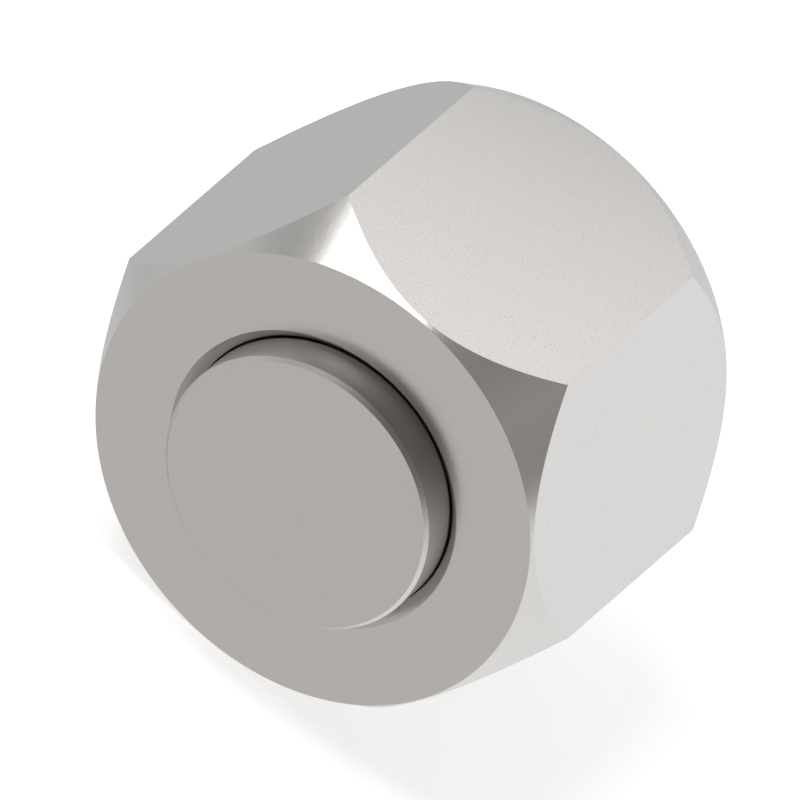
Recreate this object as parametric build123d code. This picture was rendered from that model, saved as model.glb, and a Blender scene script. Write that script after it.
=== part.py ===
from build123d import *
import math
import os

# A cap assembly that closes one end of a flareless tube fitting: a hexagonal tube nut, and a solid
# plug that stands in the nut's bore where the tube would be. Lengths are in millimetres and angles
# in degrees. Both pieces are turned about one axis, and "depth" is measured along that axis from
# the nut's front face, where the plug stands out, towards the threaded mouth at the rear.

# Tube nut: the hexagon and its two chamfered ends
across_flats = 31.75
nut_length = 24.64
end_face_reduction = 0.27
corner_chamfer_angle = 30

# Tube nut: the bore at the front, with the shoulder inside that drives the plug
tube_diameter = 19.05
bore_clearance = 0.095
countersink_width = 0.765
countersink_angle = 45
seat_depth = 4.6
seat_angle = 45
guide_length = 0.9

# Tube nut: the internal thread, 1-1/16 inch with 12 turns to the inch, bored to its crests here
thread_minor_diameter = 24.9
thread_major_diameter = 27.0
thread_relief_width = 1.8
thread_relief_clearance = 0.15
mouth_clearance = 0.25
lead_in_angle = 45

# Plug: the shank that fills the bore and stands out at the front
stand_out = 2.175
shank_edge = 0.25

# Plug: the collar that the nut's shoulder bears on
seat_clearance = 0.1
collar_clearance = 0.4
collar_length = 2.0
collar_edge = 0.3
neck_rounding = 0.4

# Plug: the sealing cone, 24 degrees in full, and the pilot that enters the fitting
cone_step = 0.75
cone_half_angle = 12
cone_rounding = 0.3
pilot_length = 2.3
pilot_edge = 0.5

# Radii that both pieces share
tube_radius = tube_diameter / 2
bore_radius = tube_radius + bore_clearance
minor_radius = thread_minor_diameter / 2


def run_along(rise, angle):
    """Length along the axis of a cone that rises this far in radius, at this angle to the axis."""
    return rise / math.tan(math.radians(angle))


def turned(outline, roundings=()):
    """Solid turned about the axis from a closed outline of (radius, depth) points.

    Each rounding gives one of those points and the radius that its corner is rounded to.
    """
    corners = [(radius, 0, depth) for radius, depth in outline]
    section = make_face(Polyline(corners, close=True))
    for (radius, depth), rounding in roundings:
        corner = section.vertices().sort_by_distance((radius, 0, depth))[0]
        section = fillet(corner, rounding)
    return revolve(section, Axis.Z)


def nut_outline():
    """Half section of the nut, as if its hexagon were round: the hexagon is cut from it after."""
    face_radius = (across_flats - end_face_reduction) / 2
    rim_radius = across_flats / math.sqrt(3) + 1
    rim_depth = run_along(rim_radius - face_radius, corner_chamfer_angle)
    countersink_radius = bore_radius + countersink_width
    relief_radius = thread_major_diameter / 2 + thread_relief_clearance
    relief_slope = run_along(relief_radius - minor_radius, lead_in_angle)
    mouth_radius = thread_major_diameter / 2 + mouth_clearance
    mouth_depth = run_along(mouth_radius - minor_radius, lead_in_angle)
    seat_end = seat_depth + run_along(minor_radius - bore_radius, seat_angle)
    relief_start = seat_end + guide_length
    relief_end = relief_start + thread_relief_width

    front = [
        (countersink_radius, 0),
        (face_radius, 0),
        (rim_radius, rim_depth),
    ]
    rear = [
        (rim_radius, nut_length - rim_depth),
        (face_radius, nut_length),
        (mouth_radius, nut_length),
        (minor_radius, nut_length - mouth_depth),
    ]
    relief = [
        (minor_radius, relief_end + relief_slope),
        (relief_radius, relief_end),
        (relief_radius, relief_start),
        (minor_radius, relief_start),
    ]
    seat_and_bore = [
        (minor_radius, seat_end),
        (bore_radius, seat_depth),
        (bore_radius, run_along(countersink_width, countersink_angle)),
    ]
    return front + rear + relief + seat_and_bore


def make_tube_nut():
    """The nut: its turned section cut to a hexagon, which leaves the scalloped chamfers."""
    hexagon = RegularPolygon(across_flats / math.sqrt(3), 6)
    return turned(nut_outline()) & extrude(hexagon, nut_length)


def make_plug():
    """The plug: shank, driving collar, sealing cone and pilot, turned from one bar."""
    collar_radius = minor_radius - collar_clearance
    cone_radius = collar_radius - cone_step
    shoulder_gap = seat_clearance / math.sin(math.radians(seat_angle))
    shoulder_start = seat_depth - run_along(bore_clearance, seat_angle) + shoulder_gap
    shoulder_end = shoulder_start + run_along(collar_radius - tube_radius, seat_angle)
    collar_end = shoulder_end + collar_length
    cone_end = collar_end + run_along(cone_radius - tube_radius, cone_half_angle)
    pilot_end = cone_end + pilot_length

    shank = [
        (0, -stand_out),
        (tube_radius - shank_edge, -stand_out),
        (tube_radius, shank_edge - stand_out),
        (tube_radius, shoulder_start),
    ]
    collar = [
        (collar_radius, shoulder_end),
        (collar_radius, collar_end - collar_edge),
        (collar_radius - collar_edge, collar_end),
    ]
    nose = [
        (cone_radius, collar_end),
        (tube_radius, cone_end),
        (tube_radius, pilot_end - pilot_edge),
        (tube_radius - pilot_edge, pilot_end),
        (0, pilot_end),
    ]
    neck = (shank[-1], neck_rounding)
    cone_root = (nose[0], cone_rounding)
    return turned(shank + collar + nose, [neck, cone_root])


# The assembly lies on one flat of the hexagon, with the plug's end towards -Y. The origin is the
# middle of the whole length, on the surface that the flat rests on.
front_face_y = stand_out - (nut_length + stand_out) / 2
lying = Location((0, front_face_y, across_flats / 2), (-90, 0, 0))

os.makedirs("parts", exist_ok=True)
export_step(lying * make_tube_nut(), "parts/tube_nut.step")
export_step(lying * make_plug(), "parts/plug.step")
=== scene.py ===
import math
import bmesh
import bpy
from mathutils import Euler, Matrix, Vector


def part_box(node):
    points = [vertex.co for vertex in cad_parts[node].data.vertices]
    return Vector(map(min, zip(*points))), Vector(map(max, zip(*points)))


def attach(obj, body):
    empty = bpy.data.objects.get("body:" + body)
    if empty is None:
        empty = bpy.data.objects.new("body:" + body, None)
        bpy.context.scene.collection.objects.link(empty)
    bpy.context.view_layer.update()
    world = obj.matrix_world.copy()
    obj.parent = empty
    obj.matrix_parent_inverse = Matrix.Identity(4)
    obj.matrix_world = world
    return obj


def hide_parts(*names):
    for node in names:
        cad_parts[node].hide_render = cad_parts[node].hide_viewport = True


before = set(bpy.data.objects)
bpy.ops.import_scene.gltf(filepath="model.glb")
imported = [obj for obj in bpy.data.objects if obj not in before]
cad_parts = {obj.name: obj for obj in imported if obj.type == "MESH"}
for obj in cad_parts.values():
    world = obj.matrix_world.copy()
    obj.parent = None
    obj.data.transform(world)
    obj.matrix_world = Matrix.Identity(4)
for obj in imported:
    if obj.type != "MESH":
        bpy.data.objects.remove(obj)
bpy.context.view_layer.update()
scene = bpy.context.scene
scene.view_settings.view_transform = "Standard"

# Tube nut
# A hexagonal steel nut, machined from bar: both ends are turned to a 30 degree cone, which leaves
# the scalloped edges of the flats. Its bore holds the plug, and its rear is threaded to screw over
# the end of the fitting.
mm = 0.001
nut_low, nut_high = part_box("tube_nut")
front_y = nut_low.y
nut_length = nut_high.y - nut_low.y
half_flats = (nut_high.z - nut_low.z) / 2
axis_z = nut_low.z + half_flats
corner_turn = math.radians(60)

end_face_step = 0.135 * mm
end_cone_angle = math.radians(30)
bore_radius = 9.62 * mm
countersink = 0.765 * mm
seat_depth = 4.6 * mm
guide_length = 0.9 * mm
crest_radius = 12.45 * mm
root_radius = 13.5 * mm
relief_radius = 13.65 * mm
relief_width = 1.8 * mm
mouth_radius = 13.75 * mm
broken_edge = 0.015 * mm
hexagon_edge = 0.012 * mm
steps_per_flat = 48
steps_per_edge = 3

# The countersink, the seat, the relief groove's rear side and the mouth are 45 degree cones, so
# each runs as far along the axis as it rises in radius.
end_face_radius = half_flats - end_face_step
seat_end = seat_depth + crest_radius - bore_radius
relief_start = seat_end + guide_length
relief_end = relief_start + relief_width


def rounded(corners):
    """Closed outline through (radius, depth, rounding) corners, with an arc in place of each."""
    outline = []
    for here, (radius, depth, rounding) in enumerate(corners):
        corner = Vector((radius, depth))
        if not rounding:
            outline.append(corner)
            continue
        before = (Vector(corners[here - 1][:2]) - corner).normalized()
        after = (Vector(corners[(here + 1) % len(corners)][:2]) - corner).normalized()
        half_angle = before.angle(after) / 2
        centre = corner + (before + after).normalized() * rounding / math.sin(half_angle)
        reach = rounding / math.tan(half_angle)
        start = corner + before * reach - centre
        end = corner + after * reach - centre
        for step in range(steps_per_edge + 1):
            outline.append(centre + rounding * start.slerp(end, step / steps_per_edge))
    return outline


def nut_section(reach):
    """Outline of the nut's wall where the hexagon lies this far from the axis."""
    cone_depth = (reach - end_face_radius) / math.tan(end_cone_angle)
    return rounded(
        [
            (bore_radius + countersink, 0, broken_edge / 2),
            (end_face_radius, 0, broken_edge),
            (reach, cone_depth, broken_edge),
            (reach, nut_length - cone_depth, broken_edge),
            (end_face_radius, nut_length, broken_edge),
            (mouth_radius, nut_length, broken_edge),
            (crest_radius, nut_length - (mouth_radius - crest_radius), 0),
            (crest_radius, relief_end + relief_radius - crest_radius, 0),
            (relief_radius, relief_end, 0),
            (relief_radius, relief_start, broken_edge),
            (crest_radius, relief_start, broken_edge),
            (crest_radius, seat_end, 0),
            (bore_radius, seat_depth, broken_edge),
            (bore_radius, countersink, broken_edge / 2),
        ]
    )


def hexagon_outline():
    """(reach, turn) round the hexagon, with its six long edges broken by a small radius.

    The steps on a flat crowd towards its ends, where the scalloped edge runs steepest.
    """
    outline = []
    edge_centre = (half_flats - hexagon_edge) / math.cos(corner_turn / 2)
    for side in range(6):
        corner = side * corner_turn
        for step in range(steps_per_edge + 1):
            lean = (step / steps_per_edge - 0.5) * corner_turn
            across = edge_centre + hexagon_edge * math.cos(lean)
            aside = hexagon_edge * math.sin(lean)
            outline.append((math.hypot(across, aside), corner + math.atan2(aside, across)))
        first = outline[-1][1]
        last = corner + corner_turn - (first - corner)
        for step in range(1, steps_per_flat):
            turn = first + (last - first) * (1 - math.cos(math.pi * step / steps_per_flat)) / 2
            outline.append((half_flats / math.cos(turn - corner - corner_turn / 2), turn))
    return outline


def on_cap(radius, depth, turn):
    """Point at this radius and depth, turned about the cap's axis from +X towards +Z."""
    return Vector((radius * math.cos(turn), front_y + depth, axis_z + radius * math.sin(turn)))


def skinned(name, mesh, columns, closed):
    """Piece with faces between neighbouring columns of the mesh's vertices, all the way round.

    A closed column ends where it starts. Other columns share their two ends.
    """
    for here, column in enumerate(columns):
        beside = columns[(here + 1) % len(columns)]
        for low in range(len(column) if closed else len(column) - 1):
            high = (low + 1) % len(column)
            mesh.faces.new(dict.fromkeys((column[low], beside[low], beside[high], column[high])))
    bmesh.ops.recalc_face_normals(mesh, faces=mesh.faces)
    data = bpy.data.meshes.new(name)
    mesh.to_mesh(data)
    mesh.free()
    piece = bpy.data.objects.new(name, data)
    scene.collection.objects.link(piece)
    return piece


nut_mesh = bmesh.new()
nut_columns = [
    [nut_mesh.verts.new(on_cap(radius, depth, turn)) for radius, depth in nut_section(reach)]
    for reach, turn in hexagon_outline()
]
nut = skinned("machined_tube_nut", nut_mesh, nut_columns, closed=True)


def add_node(tree, kind, inputs=(), **settings):
    """A node with its settings, and its inputs given as values or as sockets to link from."""
    node = tree.nodes.new(kind)
    for setting, value in settings.items():
        setattr(node, setting, value)
    for socket, value in dict(inputs).items():
        if isinstance(value, bpy.types.NodeSocket):
            tree.links.new(value, node.inputs[socket])
        else:
            node.inputs[socket].default_value = value
    return node


def output_of(tree, kind, inputs=(), **settings):
    """First output of such a node."""
    return add_node(tree, kind, inputs, **settings).outputs[0]


def arithmetic(tree, operation, first, *others):
    """Output of Math nodes that bring in these values or sockets one after the other."""
    for other in others:
        first = output_of(tree, "ShaderNodeMath", {0: first, 1: other}, operation=operation)
    return first


def blend(tree, factor, first, second):
    """Colour between two colours."""
    inputs = {"Factor": factor, 6: first, 7: second}
    return add_node(tree, "ShaderNodeMix", inputs, data_type="RGBA").outputs[2]


def noise(tree, place, scale, detail):
    """Noise of this many features to each unit of the place."""
    inputs = {"Vector": place, "Scale": scale, "Detail": detail}
    return output_of(tree, "ShaderNodeTexNoise", inputs)


def between(tree, value, low, high):
    """Value from 0 to 1, spread from low to high."""
    return output_of(tree, "ShaderNodeMapRange", {"Value": value, "To Min": low, "To Max": high})


def smooth_rise(tree, value, start, end, low=0, high=1):
    """Smooth rise from low to high as the value passes from start to end."""
    inputs = {"Value": value, "From Min": start, "From Max": end, "To Min": low, "To Max": high}
    return output_of(tree, "ShaderNodeMapRange", inputs, interpolation_type="SMOOTHSTEP")


def stretched(tree, place, factors):
    """Place with each of its coordinates multiplied by its own factor."""
    return output_of(tree, "ShaderNodeVectorMath", {0: place, 1: factors}, operation="MULTIPLY")


def along(tree, place, direction):
    """How far the place lies in this direction."""
    dot = add_node(tree, "ShaderNodeVectorMath", {0: place, 1: direction}, operation="DOT_PRODUCT")
    return dot.outputs["Value"]


def raised(tree, height, depth, below=None):
    """Normal of a surface that this height pattern raises by up to this depth."""
    bump = {"Height": height, "Strength": 1, "Distance": depth}
    if below:
        bump["Normal"] = below
    return output_of(tree, "ShaderNodeBump", bump)


# Scales of the steel's patterns are in features to the metre.
grain_scale = 8000
grain_band = (0.6, 0.75)
grain_dulling = 0.015
stipple_scale = 9000
patch_scale = 220
turning_scale = 9000
turning_feed_slope = 0.6
drawing_scale = (7000, 90, 7000)
darker_steel = (0.692, 0.682, 0.668, 1)
lighter_steel = (0.708, 0.698, 0.682, 1)


def round_the_axis(tree, place):
    """Place of a mark that a turning tool leaves: one value at each radius and depth."""
    across = stretched(tree, place, (1, 0, 1))
    radius = add_node(tree, "ShaderNodeVectorMath", {0: across}, operation="LENGTH")
    fed_along = along(tree, place, (0, turning_feed_slope, 0))
    feed = arithmetic(tree, "ADD", radius.outputs["Value"], fed_along)
    mark = arithmetic(tree, "MULTIPLY", feed, turning_scale)
    return output_of(tree, "ShaderNodeCombineXYZ", {"X": mark})


def along_the_bar(tree, place):
    """Place of a mark that the drawing die leaves on bar: stretched along the bar."""
    return stretched(tree, place, drawing_scale)


def satin_steel(name, roughness, grain_depth, marks_run, marks_depth, stipple_depth):
    """Steel with a fine satin grain, and with tool marks that run round the axis or along the bar.

    Its roughness lies between two values, for the smoother and the rougher patches.
    """
    material = bpy.data.materials.new(name)
    material.use_nodes = True
    tree = material.node_tree
    shader = tree.nodes["Principled BSDF"]
    shader.inputs["Metallic"].default_value = 1
    object_place = add_node(tree, "ShaderNodeTexCoord").outputs["Object"]
    from_axis = {"Vector": object_place, "Location": (0, 0, -axis_z)}
    place = output_of(tree, "ShaderNodeMapping", from_axis)

    marks = noise(tree, marks_run(tree, place), 1, 4)
    grain = smooth_rise(tree, noise(tree, place, grain_scale, 1), *grain_band)
    surface = raised(tree, grain, grain_depth, raised(tree, marks, marks_depth))
    tree.links.new(surface, shader.inputs["Normal"])

    patches = noise(tree, place, patch_scale, 3)
    patch_roughness = between(tree, patches, *roughness)
    grain_roughness = between(tree, grain, -grain_dulling, grain_dulling)
    sheen = arithmetic(tree, "ADD", patch_roughness, grain_roughness)
    tree.links.new(sheen, shader.inputs["Roughness"])

    tone = blend(tree, patches, darker_steel, lighter_steel)
    stipple = noise(tree, place, stipple_scale, 0)
    shade = between(tree, stipple, 1 - stipple_depth, 1 + stipple_depth)
    stippled = output_of(tree, "ShaderNodeVectorMath", {0: tone, "Scale": shade}, operation="SCALE")
    tree.links.new(stippled, shader.inputs["Base Color"])
    return material


turned_steel = satin_steel(
    "turned_satin_steel",
    roughness=(0.22, 0.26),
    grain_depth=0.002 * mm,
    marks_run=round_the_axis,
    marks_depth=0.0006 * mm,
    stipple_depth=0.01,
)
drawn_steel = satin_steel(
    "drawn_satin_steel",
    roughness=(0.18, 0.22),
    grain_depth=0.0035 * mm,
    marks_run=along_the_bar,
    marks_depth=0.0008 * mm,
    stipple_depth=0.06,
)

# Internal thread: the groove of a 12-turns-to-the-inch thread, cut as a single-point tool cuts it,
# from the relief groove out through the mouth. The tool starts inside the bore's surface and runs
# one turn past the mouth, so that the groove opens cleanly at both.
pitch = 25.4 / 12 * mm
flank_angle = math.radians(30)
root_flat = 1 / 8
steps_per_turn = 120
quarter_turn = math.radians(90)
start_depth = relief_start + relief_width / 2
cut_sizes = {
    "Pitch": pitch,
    "Crest Radius": crest_radius,
    "Root Radius": root_radius,
    "Overcut": 0.25 * mm,
    "Start Depth": start_depth,
    "Front": front_y,
    "Axis Height": axis_z,
    "Turns": (nut_length - start_depth + pitch) / pitch,
}
cutter = bpy.data.node_groups.new("cut_internal_thread", "GeometryNodeTree")
cutter.interface.new_socket("Geometry", in_out="INPUT", socket_type="NodeSocketGeometry")
for size in cut_sizes:
    cutter.interface.new_socket(size, in_out="INPUT", socket_type="NodeSocketFloat")
cutter.interface.new_socket("Steps per Turn", in_out="INPUT", socket_type="NodeSocketInt")
cutter.interface.new_socket("Material", in_out="INPUT", socket_type="NodeSocketMaterial")
cutter.interface.new_socket("Geometry", in_out="OUTPUT", socket_type="NodeSocketGeometry")

given = add_node(cutter, "NodeGroupInput").outputs
inner_radius = arithmetic(cutter, "SUBTRACT", given["Crest Radius"], given["Overcut"])
groove_height = arithmetic(cutter, "SUBTRACT", given["Root Radius"], inner_radius)
root_width = arithmetic(cutter, "MULTIPLY", given["Pitch"], root_flat)
flank_spread = arithmetic(cutter, "MULTIPLY", groove_height, 2 * math.tan(flank_angle))
mouth_width = arithmetic(cutter, "ADD", root_width, flank_spread)
both_radii = arithmetic(cutter, "ADD", given["Root Radius"], inner_radius)
middle_radius = arithmetic(cutter, "MULTIPLY", both_radii, 0.5)
tool_path = output_of(
    cutter,
    "GeometryNodeCurveSpiral",
    {
        "Resolution": given["Steps per Turn"],
        "Rotations": given["Turns"],
        "Start Radius": middle_radius,
        "End Radius": middle_radius,
        "Height": arithmetic(cutter, "MULTIPLY", given["Pitch"], given["Turns"]),
    },
)
level_path = output_of(cutter, "GeometryNodeSetCurveNormal", {"Curve": tool_path}, mode="Z_UP")
tool_shape = output_of(
    cutter,
    "GeometryNodeCurvePrimitiveQuadrilateral",
    {"Height": groove_height, "Bottom Width": mouth_width, "Top Width": root_width, "Offset": 0},
    mode="TRAPEZOID",
)
tool_turned = output_of(
    cutter, "GeometryNodeTransform", {"Geometry": tool_shape, "Rotation": (0, 0, quarter_turn)}
)
groove = output_of(
    cutter,
    "GeometryNodeCurveToMesh",
    {"Curve": level_path, "Profile Curve": tool_turned, "Fill Caps": True},
)
groove_y = arithmetic(cutter, "ADD", given["Front"], given["Start Depth"])
groove_start = output_of(
    cutter, "ShaderNodeCombineXYZ", {"Y": groove_y, "Z": given["Axis Height"]}
)
groove_in_nut = output_of(
    cutter,
    "GeometryNodeTransform",
    {"Geometry": groove, "Translation": groove_start, "Rotation": (-quarter_turn, 0, 0)},
)
threaded = output_of(
    cutter,
    "GeometryNodeMeshBoolean",
    {"Mesh 1": given["Geometry"], "Mesh 2": groove_in_nut},
    operation="DIFFERENCE",
    solver="MANIFOLD",
)
real = output_of(cutter, "GeometryNodeRealizeInstances", {"Geometry": threaded})
finished = {"Geometry": real, "Material": given["Material"]}
cut_nut = output_of(cutter, "GeometryNodeSetMaterial", finished)
add_node(cutter, "NodeGroupOutput", {0: cut_nut})

nut.data.materials.append(turned_steel)
cut = nut.modifiers.new("cut_thread", "NODES")
cut.node_group = cutter
cut_values = {**cut_sizes, "Steps per Turn": steps_per_turn, "Material": turned_steel}
for socket in cutter.interface.items_tree:
    if socket.in_out == "INPUT" and socket.name in cut_values:
        cut[socket.identifier] = cut_values[socket.name]


def about_axis(point):
    """Part of a point's place that lies straight out from the cap's axis."""
    return Vector((point[0], 0, point[2] - axis_z))


def on_hexagon(face):
    """Whether a face is part of the hexagon's sides, and not of what was turned."""
    level_limit = 0.02
    reach_limit = 0.995 * half_flats
    return abs(face.normal.y) < level_limit and about_axis(face.center).length > reach_limit


def shade_as_machined(mesh):
    """Gives each turned face the normals of the round it lies on, and each flat its own normal."""
    normals = []
    for face in mesh.polygons:
        outwards = face.normal.dot(about_axis(face.center))
        spread = math.copysign(math.hypot(face.normal.x, face.normal.z), outwards)
        for corner in face.vertices:
            round_normal = about_axis(mesh.vertices[corner].co).normalized() * spread
            round_normal.y = face.normal.y
            normals.append(face.normal.copy() if on_hexagon(face) else round_normal)
    mesh.shade_smooth()
    mesh.normals_split_custom_set(normals)


def settle(piece):
    """Makes the piece's evaluated shape its plain mesh."""
    evaluated = piece.evaluated_get(bpy.context.evaluated_depsgraph_get())
    plain = bpy.data.meshes.new_from_object(evaluated)
    piece.modifiers.clear()
    piece.data = plain
    shade_as_machined(plain)


settle(nut)
nut.data.materials.append(drawn_steel)
for face in nut.data.polygons:
    if on_hexagon(face):
        face.material_index = len(nut.data.materials) - 1
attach(nut, "nut")
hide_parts("tube_nut")

# Plug
# One solid piece turned from steel bar, a little duller than the nut: a shank of the tube's
# diameter that fills the nut's bore, a collar that the nut's shoulder bears on, a 24 degree sealing
# cone and a short pilot.
plug_low, plug_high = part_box("plug")
stand_out = front_y - plug_low.y
plug_end = plug_high.y - front_y
shank_radius = 9.525 * mm
shank_edge = 0.25 * mm
seat_clearance = 0.1 * mm
collar_radius = (plug_high.x - plug_low.x) / 2
collar_length = 2 * mm
collar_edge = 0.3 * mm
neck_rounding = 0.4 * mm
cone_start_radius = 11.3 * mm
cone_rounding = 0.3 * mm
cone_half_angle = math.radians(12)
pilot_edge = 0.5 * mm
steps_round = 240

# The shoulder stands its clearance off the nut's seat, square to that 45 degree cone.
shoulder_start = seat_depth - (bore_radius - shank_radius) + seat_clearance * math.sqrt(2)
shoulder_end = shoulder_start + collar_radius - shank_radius
collar_end = shoulder_end + collar_length
cone_end = collar_end + (cone_start_radius - shank_radius) / math.tan(cone_half_angle)
plug_outline = rounded(
    [
        (0, -stand_out, 0),
        (shank_radius - shank_edge, -stand_out, broken_edge / 2),
        (shank_radius, shank_edge - stand_out, broken_edge / 2),
        (shank_radius, shoulder_start, neck_rounding),
        (collar_radius, shoulder_end, broken_edge),
        (collar_radius, collar_end - collar_edge, broken_edge),
        (collar_radius - collar_edge, collar_end, broken_edge),
        (cone_start_radius, collar_end, cone_rounding),
        (shank_radius, cone_end, broken_edge),
        (shank_radius, plug_end - pilot_edge, broken_edge),
        (shank_radius - pilot_edge, plug_end, broken_edge),
        (0, plug_end, 0),
    ]
)
plug_mesh = bmesh.new()
front_end, *turned_line, rear_end = plug_outline
front_pole = plug_mesh.verts.new(on_cap(*front_end, 0))
rear_pole = plug_mesh.verts.new(on_cap(*rear_end, 0))
plug_columns = []
for step in range(steps_round):
    turn = step * math.tau / steps_round
    points = [plug_mesh.verts.new(on_cap(radius, depth, turn)) for radius, depth in turned_line]
    plug_columns.append([front_pole, *points, rear_pole])
plug = skinned("turned_plug", plug_mesh, plug_columns, closed=False)
plug_steel = satin_steel(
    "plug_satin_steel",
    roughness=(0.28, 0.32),
    grain_depth=0.002 * mm,
    marks_run=round_the_axis,
    marks_depth=0.0006 * mm,
    stipple_depth=0.01,
)
plug.data.materials.append(plug_steel)
settle(plug)
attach(plug, "plug")
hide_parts("plug")

# Camera
# The photograph is a parallel view from 30 degrees to the right and 30 degrees above, of a cap
# whose hexagon has a corner up. Here the cap lies on a flat, a 30 degree turn about its axis, so
# the camera is turned with it.
view_across = 50.144 * mm
view_right = 30
view_above = 30
cap_turned = -30
aim_right = 5.464 * mm
aim_up = 4.974 * mm
camera_distance = 0.5
upright_view = Euler((math.radians(90 - view_above), 0, math.radians(view_right))).to_matrix()
viewpoint = Matrix.Rotation(math.radians(cap_turned), 3, "Y") @ upright_view
camera = bpy.data.objects.new("camera", bpy.data.cameras.new("camera"))
camera.data.type = "ORTHO"
camera.data.ortho_scale = view_across
camera.data.clip_start = 0.01
camera.data.clip_end = 10
camera.matrix_world = viewpoint.to_4x4()
camera.location = on_cap(0, 0, 0) + viewpoint @ Vector((aim_right, aim_up, camera_distance))
scene.collection.objects.link(camera)
scene.camera = camera

# Stage
# A plain pale floor that keeps the cap's soft shadow, in a studio of warm grey walls with two soft
# boxes. Floor and backdrop are white to the camera. The steel sees white only low on the right, and
# it doesn't see the floor, because the photographed steel shows none.
half_floor = 2
floor_tone = 0.8
floor_glow = 0.62
white_in_steel = 0.93
white = (1, 1, 1, 1)
warm_grey = (1, 0.965, 0.938, 1)
cool_grey = (0.905, 0.914, 0.918, 1)


def sweep(tree, place, across, start, end, low, high):
    """Smooth rise from low to high as the place passes from start to end along this direction."""
    return smooth_rise(tree, along(tree, place, across), start, end, low, high)


def seen_directly(tree, ray):
    """Whether a ray comes from the camera, straight or through glass."""
    return arithmetic(tree, "MAXIMUM", ray["Is Camera Ray"], ray["Is Transmission Ray"])


floor_mesh = bpy.data.meshes.new("floor")
floor_corners = [
    (x * half_floor, y * half_floor, nut_low.z) for x, y in ((-1, -1), (1, -1), (1, 1), (-1, 1))
]
floor_mesh.from_pydata(floor_corners, [], [(0, 1, 2, 3)])
floor = bpy.data.objects.new("floor", floor_mesh)
scene.collection.objects.link(floor)
floor_material = bpy.data.materials.new("pale_floor")
floor_material.use_nodes = True
floor_tree = floor_material.node_tree
floor_tree.nodes.clear()
floor_ray = add_node(floor_tree, "ShaderNodeLightPath").outputs
floor_seen = seen_directly(floor_tree, floor_ray)
floor_colour = {"Color": (floor_tone, floor_tone, floor_tone, 1)}
paint = output_of(floor_tree, "ShaderNodeBsdfDiffuse", floor_colour)
glow = output_of(floor_tree, "ShaderNodeEmission", {"Color": white, "Strength": floor_glow})
lit = output_of(floor_tree, "ShaderNodeAddShader", {0: paint, 1: glow})
floor_surface = output_of(floor_tree, "ShaderNodeMixShader", {0: floor_seen, 1: paint, 2: lit})
add_node(floor_tree, "ShaderNodeOutputMaterial", {"Surface": floor_surface})
floor.data.materials.append(floor_material)
floor.visible_glossy = False

world = bpy.data.worlds.new("studio")
scene.world = world
world.use_nodes = True
studio = world.node_tree
studio.nodes.clear()
studio_ray = add_node(studio, "ShaderNodeLightPath").outputs
towards_room = add_node(studio, "ShaderNodeTexCoord").outputs["Generated"]
right, back, up = (1, 0, 0), (0, 1, 0), (0, 0, 1)


def tone(across, start, end, low, high):
    """Sweep over the directions in which the room is seen."""
    return sweep(studio, towards_room, across, start, end, low, high)


def product(*factors):
    """Product of these values in the studio's nodes."""
    return arithmetic(studio, "MULTIPLY", *factors)


def dimmed(*where):
    """Part of the light that is left where the product of these takes the rest away."""
    return arithmetic(studio, "SUBTRACT", 1, product(*where))


# The room's walls are brighter below eye level, and dimmer in the front right corner, high up in
# front, ahead above eye level and on the ceiling. A little light is added from the ground, in
# front on the right and behind, and from low down on the left.
walls = product(
    tone(up, 0.05, 0.45, 0.63, 0.45),
    dimmed(tone((-0.5, 0.9, 0), -0.75, -0.3, 0.56, 0), tone(up, -0.5, 0.2, 0, 1)),
    dimmed(tone(back, -0.65, -0.3, 0.22, 0), tone(up, 0.5, 0.8, 0, 1)),
    dimmed(tone(back, -0.6, -0.35, 0.28, 0), tone(up, 0.15, 0.45, 0, 1)),
    tone(up, 0.7, 0.95, 1, 0.62),
)
low_down = tone(up, 0, 0.35, 1, 0)
below_in_front = product(
    tone(right, -0.45, -0.1, -0.03, 0.1), tone(back, -0.2, 0.1, 1, 0), tone(up, -0.8, -0.7, 1, 0)
)
below_behind = product(tone(up, -0.75, -0.45, 0.115, 0), tone(back, 0.3, 0.6, 0, 1))
low_at_left = product(tone((-1, 0.5, 0), 0.9, 1.05, 0, 0.06), low_down)
room_strength = arithmetic(studio, "ADD", walls, below_in_front, below_behind, low_at_left)
room_tone = blend(studio, tone((-0.3, 1, 0), -0.1, 0.7, 0, 1), warm_grey, cool_grey)
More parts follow.
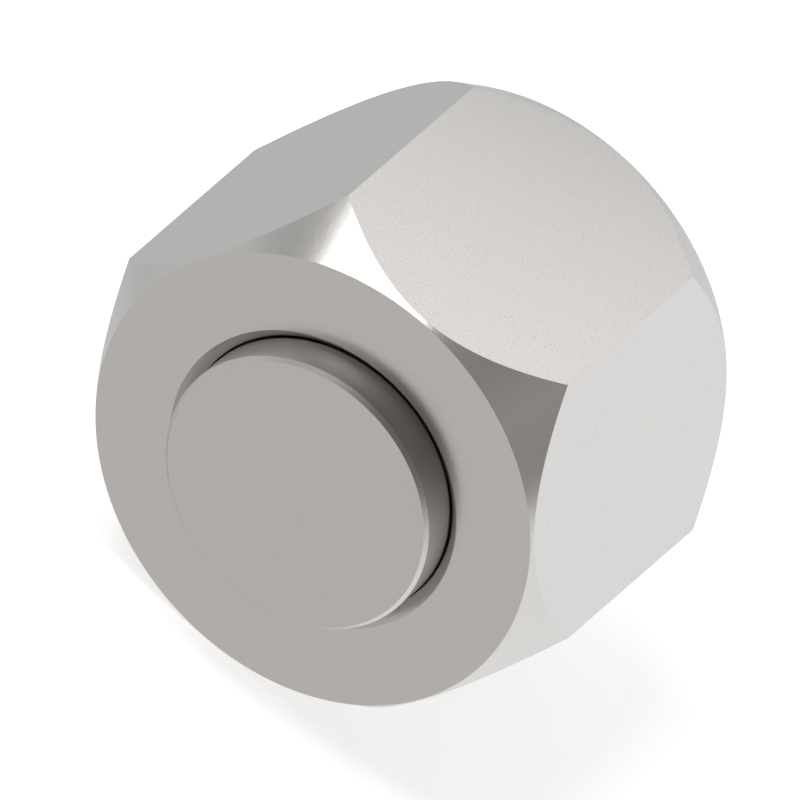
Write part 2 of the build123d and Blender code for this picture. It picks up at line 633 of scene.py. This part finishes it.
towards_right = tone((1, 0.2, -0.3), -0.05, 0.8, 0, 1)
low_at_right = product(towards_right, tone(back, -0.8, -0.1, 0, 1), low_down)
steel_sees_white = product(studio_ray["Is Glossy Ray"], low_at_right, white_in_steel)
directly = seen_directly(studio, studio_ray)
sees_white = arithmetic(studio, "MAXIMUM", directly, steel_sees_white)
room = output_of(studio, "ShaderNodeBackground", {"Color": room_tone, "Strength": room_strength})
backdrop = output_of(studio, "ShaderNodeBackground", {"Color": white, "Strength": 1})
seen = output_of(studio, "ShaderNodeMixShader", {0: sees_white, 1: room, 2: backdrop})
add_node(studio, "ShaderNodeOutputWorld", {"Surface": seen})


def soft_box(name, direction, distance, size, brightness, fall, colour=(1, 1, 1)):
    """Area lamp this far from the cap's middle and facing it, with a soft edge.

    The brightness is that of its surface, and the fall is a sweep across that surface.
    """
    lamp = bpy.data.lights.new(name, "AREA")
    lamp.shape = "RECTANGLE"
    lamp.size, lamp.size_y = size
    lamp.color = colour
    lamp.energy = brightness * math.pi * size[0] * size[1]
    lamp.use_nodes = True
    lamp_place = add_node(lamp.node_tree, "ShaderNodeNewGeometry").outputs["Parametric"]
    strength = sweep(lamp.node_tree, lamp_place, *fall)
    lamp.node_tree.links.new(strength, lamp.node_tree.nodes["Emission"].inputs["Strength"])
    box = bpy.data.objects.new(name, lamp)
    towards = Vector(direction).normalized()
    box.location = on_cap(0, nut_length / 2, 0) + towards * distance
    box.rotation_euler = towards.to_track_quat("Z", "Y").to_euler()
    box.visible_camera = False
    scene.collection.objects.link(box)


soft_box(
    "overhead_soft_box",
    direction=(-0.551, -0.187, 0.813),
    distance=0.4,
    size=(0.15, 0.368),
    brightness=6,
    fall=((0, 1, 0), 0.151, 0.395, 0, 1),
)
soft_box(
    "rear_soft_box",
    direction=(-0.1, 0.78, 0.62),
    distance=0.16,
    size=(0.16, 0.16),
    brightness=0.725,
    fall=((-0.65, 3, 0), 1.05, 1.63, 0, 1),
    colour=(1, 0.96, 0.93),
)
